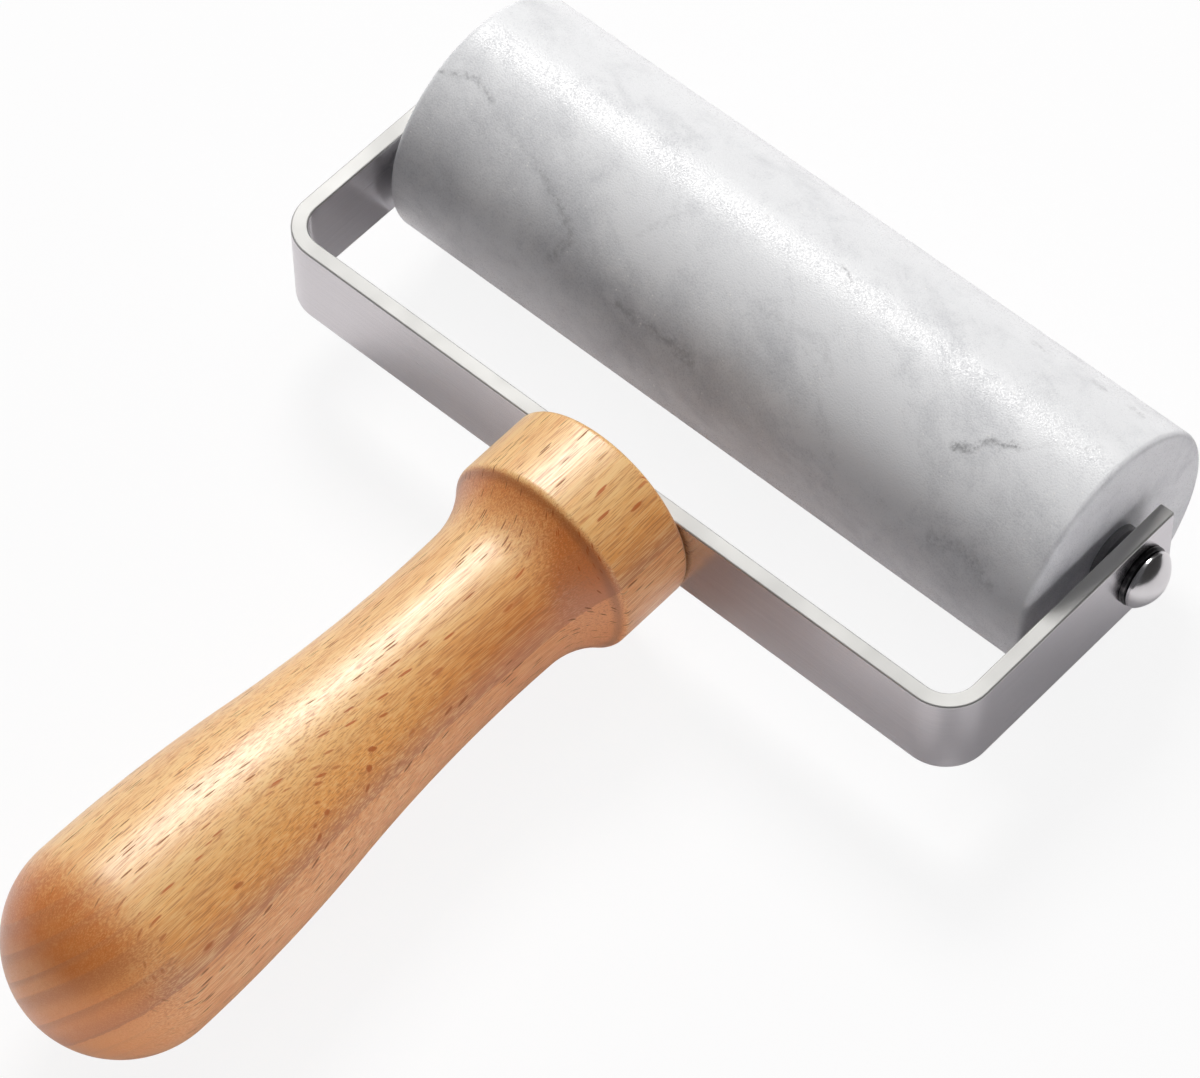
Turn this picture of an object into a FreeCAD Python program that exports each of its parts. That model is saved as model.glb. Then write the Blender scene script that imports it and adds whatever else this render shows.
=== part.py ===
# Hand roller: a marble cylinder in a bent steel fork, with a turned wooden handle.
# +X runs along the axle, the handle points along -Y, +Z is up, and lengths are millimetres.
# The origin is under the middle of the whole tool, on the surface that the roller lies on.
import FreeCAD, Part
import enum
import math
import os

import Sketcher

SIZES = {
    # Marble roller
    "roller_diameter": 40.0,
    "roller_length": 120.0,
    "roller_edge_radius": 1.0,
    # Flanged bushes in the roller's bore
    "bush_diameter": 8.0,
    "bush_depth": 14.0,
    "bush_flange_diameter": 10.0,
    "bush_flange_thickness": 1.0,
    "bush_edge_chamfer": 0.4,
    "running_clearance": 0.05,
    "roller_end_float": 2.0,
    # Axle
    "axle_diameter": 5.0,
    "axle_end_chamfer": 0.4,
    "axle_hole_clearance": 0.1,
    # Fork bent from one flat strip
    "strip_width": 15.0,
    "strip_thickness": 2.5,
    "strip_edge_radius": 0.3,
    "bend_inner_radius": 4.5,
    "arm_reach": 40.5,
    "arm_overhang": 7.0,
    # Domed caps on the axle's ends and the washers under them
    "cap_diameter": 9.2,
    "cap_rim_height": 0.9,
    "cap_undercut": 0.35,
    "cap_dome_height": 2.3,
    "cap_shoulder_radius": 0.7,
    "cap_bore_depth": 1.6,
    "cap_washer_diameter": 9.6,
    "cap_washer_thickness": 0.8,
    "cap_washer_edge_radius": 0.25,
    # Turned handle
    "handle_length": 113.0,
    "collar_diameter": 32.5,
    "collar_length": 13.0,
    "collar_front_radius": 1.0,
    "collar_back_radius": 1.6,
    "cove_radius": 15.0,
    "neck_diameter": 24.0,
    "neck_distance": 30.0,
    "belly_diameter": 32.5,
    # Screw, washer and threaded insert that hold the handle
    "screw_diameter": 5.0,
    "screw_head_diameter": 9.0,
    "screw_head_height": 2.8,
    "screw_head_rim": 0.7,
    "screw_head_flat": 4.4,
    "screw_socket_width": 3.0,
    "screw_socket_depth": 1.6,
    "screw_hole_clearance": 0.2,
    "screw_washer_diameter": 10.0,
    "screw_washer_thickness": 1.0,
    "insert_diameter": 8.0,
    "insert_length": 15.0,
    "insert_recess": 0.5,
    "insert_drill_spare": 3.0,
    "thread_clearance": 0.05,
}

# The roller has slid this share of its play towards the left arm
SLIDE_SHARE = 0.7

# Formulas that several pieces share
ROLLER_RADIUS = "sizes.roller_diameter / 2"
AXLE_RADIUS = "sizes.axle_diameter / 2"
ROLLER_X = f"(-{SLIDE_SHARE} * sizes.roller_end_float / 2)"
ARM_GAP = "(sizes.roller_length + 2 * sizes.bush_flange_thickness + sizes.roller_end_float)"
ARM_OUTSIDE = f"({ARM_GAP} / 2 + sizes.strip_thickness)"
CAP_SEAT = f"({ARM_OUTSIDE} + sizes.cap_washer_thickness)"
AXLE_Y = f"((sizes.handle_length + sizes.arm_reach - {ROLLER_RADIUS}) / 2)"
BRIDGE_OUTSIDE_Y = f"({AXLE_Y} - sizes.arm_reach)"
BRIDGE_INSIDE_Y = f"({BRIDGE_OUTSIDE_Y} + sizes.strip_thickness)"
SCREW_SEAT_Y = f"({BRIDGE_INSIDE_Y} + sizes.screw_washer_thickness)"

# Turns about +Z that carry a piece modelled along +X to where it points
TURN_RIGHT = 0
TURN_LEFT = 180
TURN_TO_HANDLE = -90

# Angle of a drill's point, and how close an edge lies to the place it is looked for
DRILL_POINT_ANGLE = 118
MATCH_SHARE = 1e-4


class Spot(enum.IntEnum):
    """Point of a sketch curve that a constraint takes hold of."""
    START = 1
    END = 2
    CENTRE = 3


class Axis(enum.IntEnum):
    """A sketch's own axes."""
    ACROSS = -1
    UP = -2


# The point where both axes start
ORIGIN = (Axis.ACROSS, Spot.START)


def make_sheet(doc):
    """Write every driving dimension into the sheet, under its own alias."""
    sheet = doc.addObject("Spreadsheet::Sheet", "sizes")
    for row, (name, value) in enumerate(SIZES.items(), start=1):
        sheet.set(f"A{row}", name)
        sheet.set(f"B{row}", str(value))
        sheet.setAlias(f"B{row}", name)
    doc.recompute()


def value_of(obj, formula):
    """Value of a formula, read from the sheet."""
    return float(obj.evalExpression(formula))


def new_body(doc, label):
    """Empty body for one sub-part."""
    body = doc.addObject("PartDesign::Body", label)
    body.Label = label
    return body


def new_sketch(body, name, role):
    """Sketch on one of the body's own origin planes."""
    sketch = body.newObject("Sketcher::SketchObject", name)
    plane = next(item for item in body.Origin.OriginFeatures if item.Role == role)
    sketch.AttachmentSupport = (plane, [""])
    sketch.MapMode = "FlatFace"
    return sketch


def drive(sketch, kind, *where, formula):
    """Add a dimension that follows a formula."""
    index = sketch.addConstraint(Sketcher.Constraint(kind, *where, value_of(sketch, formula)))
    sketch.setExpression(f"Constraints[{index}]", formula)


def pin_point(sketch, geometry, point, x_formula, y_formula):
    """Hold a sketch point at two formulas, where None means on the axis."""
    if x_formula is None:
        sketch.addConstraint(Sketcher.Constraint("PointOnObject", geometry, point, Axis.UP))
    else:
        drive(sketch, "DistanceX", *ORIGIN, geometry, point, formula=x_formula)
    if y_formula is None:
        sketch.addConstraint(Sketcher.Constraint("PointOnObject", geometry, point, Axis.ACROSS))
    else:
        drive(sketch, "DistanceY", *ORIGIN, geometry, point, formula=y_formula)


def sketch_point(sketch, x_formula, y_formula):
    """Vector of a corner given by two formulas."""
    x = 0 if x_formula is None else value_of(sketch, x_formula)
    y = 0 if y_formula is None else value_of(sketch, y_formula)
    return FreeCAD.Vector(x, y, 0)


def draw_outline(sketch, corners, arcs=()):
    """Draw a closed outline through corners given by formulas.

    A stretch whose number is in arcs is a round one, centred on the sketch's X axis and
    running clockwise from its first corner to its second.
    """
    points = [sketch_point(sketch, *corner) for corner in corners]
    count = len(points)
    for i, start in enumerate(points):
        end = points[(i + 1) % count]
        if i in arcs:
            # The centre on the axis is as far from one end as from the other
            across = (end.x ** 2 + end.y ** 2 - start.x ** 2 - start.y ** 2) / (2 * (end.x - start.x))
            middle = FreeCAD.Vector(across, 0, 0)
            circle = Part.Circle(middle, FreeCAD.Vector(0, 0, 1), (start - middle).Length)
            first = math.atan2(end.y, end.x - across)
            last = math.atan2(start.y, start.x - across)
            sketch.addGeometry(Part.ArcOfCircle(circle, first, last))
        else:
            sketch.addGeometry(Part.LineSegment(start, end))
    for i in range(count):
        follower = (i + 1) % count
        leaving = Spot.START if i in arcs else Spot.END
        entering = Spot.END if follower in arcs else Spot.START
        sketch.addConstraint(Sketcher.Constraint("Coincident", i, leaving, follower, entering))
    for i, corner in enumerate(corners):
        pin_point(sketch, i, Spot.END if i in arcs else Spot.START, *corner)
    for i in arcs:
        sketch.addConstraint(Sketcher.Constraint("PointOnObject", i, Spot.CENTRE, Axis.ACROSS))


def turn_profile(body, sketch):
    """Revolve a profile round the sketch's X axis."""
    turned = body.newObject("PartDesign::Revolution", body.Name + "_turned")
    turned.Profile = sketch
    turned.ReferenceAxis = (sketch, ["H_Axis"])
    body.Document.recompute()
    return turned


def turned_body(doc, label, corners, arcs=()):
    """Body turned round +X from one outline, with the revolved feature."""
    body = new_body(doc, label)
    sketch = new_sketch(body, label + "_profile", "XY_Plane")
    draw_outline(sketch, corners, arcs)
    return body, turn_profile(body, sketch)


def round_edges(body, base, wanted, formula, name):
    """Fillet the edges of the base feature that the test picks."""
    fillet = body.newObject("PartDesign::Fillet", body.Name + name)
    picked = [f"Edge{i}" for i, edge in enumerate(base.Shape.Edges, start=1) if wanted(edge)]
    if not picked:
        raise RuntimeError(f"{fillet.Name} found no edge to round")
    fillet.Base = (base, picked)
    fillet.setExpression("Radius", formula)
    body.Document.recompute()
    return fillet


def rings_at(places, radius):
    """Test for circular edges round +X at some places and one radius."""
    def wanted(edge):
        # An edge shrunk to a point, as at a dome's top, has no curve
        circle = None if edge.Degenerated else edge.Curve
        if not isinstance(circle, Part.Circle):
            return False
        near = radius * MATCH_SHARE
        at_place = any(abs(circle.Center.x - place) < near for place in places)
        return at_place and abs(circle.Radius - radius) < near
    return wanted


def expect_less(body, before, feature):
    """Stop if a cutting feature left the body's volume as it was before."""
    body.Document.recompute()
    if not body.Shape.Volume < before:
        raise RuntimeError(f"{feature.Name} cut nothing")


def cut_through(body, sketch, name):
    """Cut a sketch through the whole body, to both sides of its plane."""
    body.Document.recompute()
    before = body.Shape.Volume
    pocket = body.newObject("PartDesign::Pocket", body.Name + name)
    pocket.Profile = sketch
    pocket.Type = "ThroughAll"
    pocket.SideType = "Symmetric"
    expect_less(body, before, pocket)


def draw_circle(sketch, radius_formula):
    """Circle about the sketch's origin."""
    radius = value_of(sketch, radius_formula)
    circle = sketch.addGeometry(Part.Circle(FreeCAD.Vector(), FreeCAD.Vector(0, 0, 1), radius))
    sketch.addConstraint(Sketcher.Constraint("Coincident", circle, Spot.CENTRE, *ORIGIN))
    drive(sketch, "Radius", circle, formula=radius_formula)


def place(body, turn, x_formula=None, y_formula=AXLE_Y):
    """Put a body at the axle's height, turned about +Z."""
    body.Placement = FreeCAD.Placement(FreeCAD.Vector(), FreeCAD.Rotation(FreeCAD.Vector(0, 0, 1), turn))
    body.setExpression("Placement.Base.z", ROLLER_RADIUS)
    body.setExpression("Placement.Base.y", y_formula)
    if x_formula is not None:
        body.setExpression("Placement.Base.x", x_formula)


def make_roller(doc):
    """Marble cylinder with a through bore and softly rounded end edges."""
    half = "sizes.roller_length / 2"
    bore = "sizes.bush_diameter / 2"
    corners = [(f"-{half}", bore), (f"-{half}", ROLLER_RADIUS), (half, ROLLER_RADIUS), (half, bore)]
    body, turned = turned_body(doc, "roller", corners)
    reach = value_of(body, half)
    ends = rings_at((-reach, reach), value_of(body, ROLLER_RADIUS))
    round_edges(body, turned, ends, "sizes.roller_edge_radius", "_ends")
    place(body, TURN_RIGHT, ROLLER_X)
    return body


def make_bush(doc, label, turn, side):
    """Flanged bearing: its sleeve fills the roller's bore, its flange keeps the arm away."""
    bore = f"{AXLE_RADIUS} + sizes.running_clearance"
    sleeve = "sizes.bush_diameter / 2"
    flange = "sizes.bush_flange_diameter / 2"
    depth = "-sizes.bush_depth"
    face = "sizes.bush_flange_thickness"
    chamfer = "sizes.bush_edge_chamfer"
    corners = [(depth, bore), (depth, f"{sleeve} - {chamfer}"), (f"{depth} + {chamfer}", sleeve),
               (None, sleeve), (None, flange), (f"{face} - {chamfer}", flange),
               (face, f"{flange} - {chamfer}"), (face, bore)]
    body, _ = turned_body(doc, label, corners)
    place(body, turn, f"{ROLLER_X} + {side} * sizes.roller_length / 2")
    return body


def make_axle(doc):
    """Rod through both arms, with chamfered ends inside the caps."""
    half = f"({CAP_SEAT} + sizes.cap_bore_depth)"
    chamfer = "sizes.axle_end_chamfer"
    small = f"{AXLE_RADIUS} - {chamfer}"
    corners = [(f"-{half}", None), (f"-{half}", small), (f"-{half} + {chamfer}", AXLE_RADIUS),
               (f"{half} - {chamfer}", AXLE_RADIUS), (half, small), (half, None)]
    body, _ = turned_body(doc, "axle", corners)
    place(body, TURN_RIGHT)
    return body


def make_frame(doc):
    """Flat strip bent twice into a fork, with the axle's holes and the screw's hole."""
    body = new_body(doc, "frame")
    inner = f"{ARM_GAP} / 2"
    outer = ARM_OUTSIDE
    tip = "sizes.arm_overhang"
    back = "-sizes.arm_reach"
    front = f"{back} + sizes.strip_thickness"
    sketch = new_sketch(body, "frame_outline", "XY_Plane")
    draw_outline(sketch, [(outer, tip), (outer, back), (f"-{outer}", back), (f"-{outer}", tip),
                          (f"-{inner}", tip), (f"-{inner}", front), (inner, front), (inner, tip)])
    strip = body.newObject("PartDesign::Pad", "frame_strip")
    strip.Profile = sketch
    strip.SideType = "Symmetric"
    strip.setExpression("Length", "sizes.strip_width")
    doc.recompute()

    tip_y = value_of(body, tip)
    half_width = value_of(body, "sizes.strip_width") / 2
    near = half_width * MATCH_SHARE

    def upright(edge, y):
        box = edge.BoundBox
        return box.XLength < near and box.YLength < near and abs(box.YMin - y) < near

    def rim(edge):
        box = edge.BoundBox
        flat = box.ZLength < near and abs(abs(box.ZMin) - half_width) < near
        return flat or upright(edge, tip_y)

    bends = (("_inner_bends", front, "sizes.bend_inner_radius"),
             ("_outer_bends", back, "sizes.bend_inner_radius + sizes.strip_thickness"))
    bent = strip
    for name, place_formula, radius_formula in bends:
        y = value_of(body, place_formula)
        bent = round_edges(body, bent, lambda edge: upright(edge, y), radius_formula, name)
    round_edges(body, bent, rim, "sizes.strip_edge_radius", "_rims")

    axle_holes = new_sketch(body, "frame_axle_holes", "YZ_Plane")
    draw_circle(axle_holes, f"{AXLE_RADIUS} + sizes.axle_hole_clearance")
    cut_through(body, axle_holes, "_axle_cut")
    screw_hole = new_sketch(body, "frame_screw_hole", "XZ_Plane")
    draw_circle(screw_hole, "sizes.screw_diameter / 2 + sizes.screw_hole_clearance")
    cut_through(body, screw_hole, "_screw_cut")
    place(body, TURN_RIGHT)
    return body


def make_cap_washer(doc, label, turn, side):
    """Thin ring between the arm and the cap, with rounded outer edges."""
    outer = "sizes.cap_washer_diameter / 2"
    bore = f"{AXLE_RADIUS} + sizes.axle_hole_clearance"
    far = "sizes.cap_washer_thickness"
    body, turned = turned_body(doc, label, [(None, bore), (None, outer), (far, outer), (far, bore)])
    rims = rings_at((0, value_of(body, far)), value_of(body, outer))
    round_edges(body, turned, rims, "sizes.cap_washer_edge_radius", "_rims")
    place(body, turn, f"{side} * {ARM_OUTSIDE}")
    return body


def make_cap(doc, label, turn, side):
    """Domed cap pressed on the axle's end, undercut where it meets the washer."""
    rim = "sizes.cap_diameter / 2"
    undercut = "sizes.cap_undercut"
    shoulder = "sizes.cap_rim_height"
    apex = "sizes.cap_rim_height + sizes.cap_dome_height"
    floor = "sizes.cap_bore_depth"
    corners = [(None, AXLE_RADIUS), (None, f"{rim} - {undercut}"), (undercut, rim), (shoulder, rim),
               (apex, None), (floor, None), (floor, AXLE_RADIUS)]
    dome = 3
    body, turned = turned_body(doc, label, corners, arcs=(dome,))
    edge = rings_at((value_of(body, shoulder),), value_of(body, rim))
    round_edges(body, turned, edge, "sizes.cap_shoulder_radius", "_shoulder")
    place(body, turn, f"{side} * {CAP_SEAT}")
    return body


def meeting_circles(first, first_radius, second, second_radius):
    """Where two circles in a plane meet, at the place further along X."""
    along = second - first
    apart = along.Length
    share = (apart ** 2 + first_radius ** 2 - second_radius ** 2) / (2 * apart ** 2)
    height = math.sqrt(first_radius ** 2 - (share * apart) ** 2)
    across = FreeCAD.Vector(-along.y, along.x, 0).normalize()
    return max((first + along * share + across * (sign * height) for sign in (-1, 1)), key=lambda p: p.x)


def arc_between(centre, start, end):
    """Arc running counterclockwise about a centre from one point to another."""
    circle = Part.Circle(centre, FreeCAD.Vector(0, 0, 1), (start - centre).Length)
    first = math.atan2(start.y - centre.y, start.x - centre.x)
    last = math.atan2(end.y - centre.y, end.x - centre.x)
    return Part.ArcOfCircle(circle, first, last)


def draw_handle(sketch):
    """Half outline of the handle: collar, cove, neck, belly and round butt.

    Neck and belly are two equal arcs that meet halfway in a smooth S, the cove runs into
    the neck without a corner, and the butt is a quarter circle as round as the belly.
    """
    collar = sketch_point(sketch, "sizes.collar_length", "sizes.collar_diameter / 2")
    neck = sketch_point(sketch, "sizes.neck_distance", "sizes.neck_diameter / 2")
    belly_radius = "sizes.belly_diameter / 2"
    butt = sketch_point(sketch, f"sizes.handle_length - {belly_radius}", None)
    tail = sketch_point(sketch, "sizes.handle_length", None)
    belly = butt + sketch_point(sketch, None, belly_radius)
    cove_radius = value_of(sketch, "sizes.cove_radius")

    # Equal arcs: half the rise happens on each side of the middle of the S
    rise = belly - neck
    bow = FreeCAD.Vector(0, (rise.x ** 2 + rise.y ** 2) / (4 * rise.y), 0)
    neck_centre = neck + bow
    belly_centre = belly - bow
    middle = (neck + belly) / 2
    cove_centre = meeting_circles(collar, cove_radius, neck_centre, bow.y - cove_radius)
    outward = (cove_centre - neck_centre).normalize()
    cove_end = neck_centre + outward * bow.y

    corner = FreeCAD.Vector(0, collar.y, 0)
    face, collar_top, cove, neck_arc, belly_arc, butt_arc, axis, low_point = range(8)
    sketch.addGeometry([
        Part.LineSegment(FreeCAD.Vector(), corner),
        Part.LineSegment(corner, collar),
        arc_between(cove_centre, collar, cove_end),
        arc_between(neck_centre, cove_end, middle),
        arc_between(belly_centre, belly, middle),
        arc_between(butt, tail, belly),
        Part.LineSegment(tail, FreeCAD.Vector()),
    ])
    sketch.addGeometry(Part.Point(neck), True)
    sketch.addConstraint([
        Sketcher.Constraint("Coincident", face, Spot.END, collar_top, Spot.START),
        Sketcher.Constraint("Coincident", collar_top, Spot.END, cove, Spot.START),
        Sketcher.Constraint("Tangent", cove, Spot.END, neck_arc, Spot.START),
        Sketcher.Constraint("Tangent", neck_arc, Spot.END, belly_arc, Spot.END),
        Sketcher.Constraint("Tangent", belly_arc, Spot.START, butt_arc, Spot.END),
        Sketcher.Constraint("Coincident", butt_arc, Spot.START, axis, Spot.START),
        Sketcher.Constraint("Coincident", axis, Spot.END, face, Spot.START),
        Sketcher.Constraint("Equal", neck_arc, belly_arc),
        Sketcher.Constraint("PointOnObject", low_point, Spot.START, neck_arc),
        Sketcher.Constraint("Vertical", low_point, Spot.START, neck_arc, Spot.CENTRE),
        Sketcher.Constraint("Vertical", butt_arc, Spot.CENTRE, butt_arc, Spot.END),
        Sketcher.Constraint("PointOnObject", butt_arc, Spot.CENTRE, Axis.ACROSS),
        Sketcher.Constraint("Coincident", face, Spot.START, *ORIGIN),
    ])
    pin_point(sketch, collar_top, Spot.START, None, "sizes.collar_diameter / 2")
    pin_point(sketch, collar_top, Spot.END, "sizes.collar_length", "sizes.collar_diameter / 2")
    pin_point(sketch, low_point, Spot.START, "sizes.neck_distance", "sizes.neck_diameter / 2")
    pin_point(sketch, axis, Spot.START, "sizes.handle_length", None)
    drive(sketch, "Radius", cove, formula="sizes.cove_radius")
    drive(sketch, "Radius", butt_arc, formula=belly_radius)


def make_handle(doc):
    """Turned grip with a drilled seat for the threaded insert in its front face."""
    body = new_body(doc, "handle")
    sketch = new_sketch(body, "handle_profile", "XY_Plane")
    draw_handle(sketch)
    turned = turn_profile(body, sketch)
    radius = value_of(body, "sizes.collar_diameter / 2")
    front = round_edges(body, turned, rings_at((0,), radius), "sizes.collar_front_radius", "_front")
    back = rings_at((value_of(body, "sizes.collar_length"),), radius)
    round_edges(body, front, back, "sizes.collar_back_radius", "_back")
    mouth = new_sketch(body, "handle_mouth", "YZ_Plane")
    draw_circle(mouth, "sizes.insert_diameter / 2")
    doc.recompute()
    before = body.Shape.Volume
    drilled = body.newObject("PartDesign::Hole", "handle_drilled")
    drilled.Profile = mouth
    doc.recompute()
    drilled.DepthType = "Dimension"
    drilled.DrillPoint = "Angled"
    drilled.DrillPointAngle = DRILL_POINT_ANGLE
    drilled.Reversed = True
    drilled.setExpression("Diameter", "sizes.insert_diameter")
    drilled.setExpression("Depth", "sizes.insert_recess + sizes.insert_length + sizes.insert_drill_spare")
    expect_less(body, before, drilled)
    place(body, TURN_TO_HANDLE, y_formula=BRIDGE_OUTSIDE_Y)
    return body


def make_insert(doc):
    """Threaded sleeve set a little below the handle's front face."""
    bore = "sizes.screw_diameter / 2 + sizes.thread_clearance"
    outer = "sizes.insert_diameter / 2"
    far = "sizes.insert_length"
    body, _ = turned_body(doc, "handle_insert", [(None, bore), (None, outer), (far, outer), (far, bore)])
    place(body, TURN_TO_HANDLE, y_formula=f"{BRIDGE_OUTSIDE_Y} - sizes.insert_recess")
    return body


def make_screw_washer(doc):
    """Plain washer between the bridge and the screw's head."""
    bore = "sizes.screw_diameter / 2 + sizes.screw_hole_clearance"
    outer = "sizes.screw_washer_diameter / 2"
    far = "sizes.screw_washer_thickness"
    body, _ = turned_body(doc, "screw_washer", [(None, bore), (None, outer), (far, outer), (far, bore)])
    place(body, TURN_TO_HANDLE, y_formula=SCREW_SEAT_Y)
    return body


def make_screw(doc):
    """Button-head socket screw, as long as its washer, the strip and the insert need."""
    shank = "sizes.screw_diameter / 2"
    head = "sizes.screw_head_diameter / 2"
    flat = "sizes.screw_head_flat / 2"
    top = "-sizes.screw_head_height"
    tip = "(sizes.screw_washer_thickness + sizes.strip_thickness + sizes.insert_recess + sizes.insert_length)"
    corners = [(top, None), (top, flat), ("-sizes.screw_head_rim", head), (None, head),
               (None, shank), (tip, shank), (tip, None)]
    crown = 1
    body, _ = turned_body(doc, "handle_screw", corners, arcs=(crown,))
    socket = new_sketch(body, "handle_screw_socket", "YZ_Plane")
    socket.setExpression("AttachmentOffset.Base.z", top)
    sides = 6
    reach = "sizes.screw_socket_width / sqrt(3)"
    turns = [f"{360 * (i + 0.5) / sides} deg" for i in range(sides)]
    draw_outline(socket, [(f"{reach} * cos({turn})", f"{reach} * sin({turn})") for turn in turns])
    doc.recompute()
    before = body.Shape.Volume
    pocket = body.newObject("PartDesign::Pocket", "handle_screw_drive")
    pocket.Profile = socket
    pocket.Reversed = True
    pocket.setExpression("Length", "sizes.screw_socket_depth")
    expect_less(body, before, pocket)
    place(body, TURN_TO_HANDLE, y_formula=SCREW_SEAT_Y)
    return body


def check_document(doc, parts):
    """Stop if any object failed or any sub-part is not one sound solid."""
    for obj in doc.Objects:
        if "Invalid" in obj.State or "Error" in obj.State:
            raise RuntimeError(f"{obj.Label} failed: {obj.State}")
    for part in parts:
        shape = part.Shape
        if shape.isNull() or not shape.isValid() or len(shape.Solids) != 1:
            raise RuntimeError(f"{part.Label} is not one sound solid")


def main():
    """Build the document, check it and write one file for each sub-part."""
    doc = FreeCAD.newDocument("hand_roller")
    make_sheet(doc)
    parts = [make_frame(doc), make_axle(doc), make_roller(doc)]
    for name, turn, side in (("left", TURN_LEFT, -1), ("right", TURN_RIGHT, 1)):
        parts.append(make_bush(doc, f"{name}_bush", turn, side))
        parts.append(make_cap_washer(doc, f"{name}_cap_washer", turn, side))
        parts.append(make_cap(doc, f"{name}_cap", turn, side))
    parts += [make_handle(doc), make_insert(doc), make_screw_washer(doc), make_screw(doc)]
    doc.recompute()
    check_document(doc, parts)
    os.makedirs("parts", exist_ok=True)
    for part in parts:
        part.Shape.exportStep(f"parts/{part.Label}.step")
        box = part.Shape.optimalBoundingBox()
        print(f"{part.Label}: {box.XLength:.2f} x {box.YLength:.2f} x {box.ZLength:.2f} mm")


main()
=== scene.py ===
"""Dresses the marble roller: its stone, its bent strip fork, its turned handle and the studio."""

import logging
import math
from dataclasses import dataclass
from enum import Enum
from typing import Any, Optional, Union

import bpy
import numpy as np
from mathutils import Matrix, Vector


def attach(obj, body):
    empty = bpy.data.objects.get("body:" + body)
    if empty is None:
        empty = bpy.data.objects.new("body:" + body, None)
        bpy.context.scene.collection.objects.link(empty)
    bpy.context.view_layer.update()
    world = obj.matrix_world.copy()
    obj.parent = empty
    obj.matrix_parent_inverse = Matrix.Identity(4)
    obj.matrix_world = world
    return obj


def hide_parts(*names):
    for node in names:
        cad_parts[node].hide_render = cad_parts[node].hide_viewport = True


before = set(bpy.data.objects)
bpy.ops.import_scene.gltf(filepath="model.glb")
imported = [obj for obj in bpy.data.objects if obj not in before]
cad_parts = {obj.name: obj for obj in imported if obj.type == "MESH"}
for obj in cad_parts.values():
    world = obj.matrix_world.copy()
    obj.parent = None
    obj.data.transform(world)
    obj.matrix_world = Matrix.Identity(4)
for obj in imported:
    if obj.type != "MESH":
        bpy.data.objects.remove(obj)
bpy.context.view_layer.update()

LOG = logging.getLogger("marble_roller")
MM = 0.001
PHOTO_WIDTH = 1200.0
SHARP_CORNER = math.radians(30.0)
ORIGIN = (0.0, 0.0, 0.0)

Colour = tuple[float, float, float, float]
Point = tuple[float, float, float]
Pair = tuple[float, float]
Value = Union[float, "Wire"]
Socket = bpy.types.NodeSocket
Paint = Union[Colour, Socket]


class Side(Enum):
    """The arm of the fork that a fitting sits on, as the sign of its place along the axle."""

    LEFT = -1
    RIGHT = 1


class Ends(Enum):
    """How the ends of a turned profile are closed."""

    ON_AXIS = "both ends lie on the axis"
    LOOP = "the last point joins the first"


# Nodes and the arithmetic between them


class Wire:
    """A value socket whose arithmetic adds Math nodes."""

    def __init__(self, bench: "Bench", socket: Socket) -> None:
        """Keeps the socket and the bench its nodes stand on."""
        self.bench = bench
        self.socket = socket

    def math(self, operation: str, left: Value, right: Value = 0.0) -> "Wire":
        """Adds one Math node.

        Args:
            operation: What the node does.
            left: Its first value.
            right: Its second value.

        Returns:
            The node's result.
        """
        node = self.bench.node("ShaderNodeMath", {"operation": operation}, {0: left, 1: right})
        return Wire(self.bench, node.outputs[0])

    def __add__(self, other: Value) -> "Wire":
        """Sum with another value."""
        return self.math("ADD", self, other)

    def __radd__(self, other: Value) -> "Wire":
        """Sum with a number on the left."""
        return self.math("ADD", other, self)

    def __sub__(self, other: Value) -> "Wire":
        """Difference from another value."""
        return self.math("SUBTRACT", self, other)

    def __rsub__(self, other: Value) -> "Wire":
        """Difference of a number on the left and this."""
        return self.math("SUBTRACT", other, self)

    def __mul__(self, other: Value) -> "Wire":
        """Product with another value."""
        return self.math("MULTIPLY", self, other)

    def __rmul__(self, other: Value) -> "Wire":
        """Product with a number on the left."""
        return self.math("MULTIPLY", other, self)

    def __truediv__(self, other: Value) -> "Wire":
        """Quotient by another value."""
        return self.math("DIVIDE", self, other)

    def __rtruediv__(self, other: Value) -> "Wire":
        """Quotient of a number on the left by this."""
        return self.math("DIVIDE", other, self)

    def __pow__(self, other: Value) -> "Wire":
        """Power of this."""
        return self.math("POWER", self, other)

    def __abs__(self) -> "Wire":
        """Size without its sign."""
        return self.math("ABSOLUTE", self)

    def greater(self, other: Value) -> "Wire":
        """The larger of two values."""
        return self.math("MAXIMUM", self, other)

    def fraction(self) -> "Wire":
        """What is left above the whole number."""
        return self.math("FRACT", self)

    def rise(self, low: float, high: float, top: float = 1.0) -> "Wire":
        """Climbs smoothly from nothing.

        Args:
            low: Where the climb starts.
            high: Where it ends.
            top: What it reaches.

        Returns:
            The climbing value, level outside the two places.
        """
        sockets = {"Value": self, "From Min": low, "From Max": high, "To Min": 0.0, "To Max": top}
        node = self.bench.node("ShaderNodeMapRange", {"interpolation_type": "SMOOTHSTEP"}, sockets)
        return Wire(self.bench, node.outputs[0])

    def fall(self, low: float, high: float) -> "Wire":
        """Drops smoothly from one to nothing between two places."""
        return 1.0 - self.rise(low, high)


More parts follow.
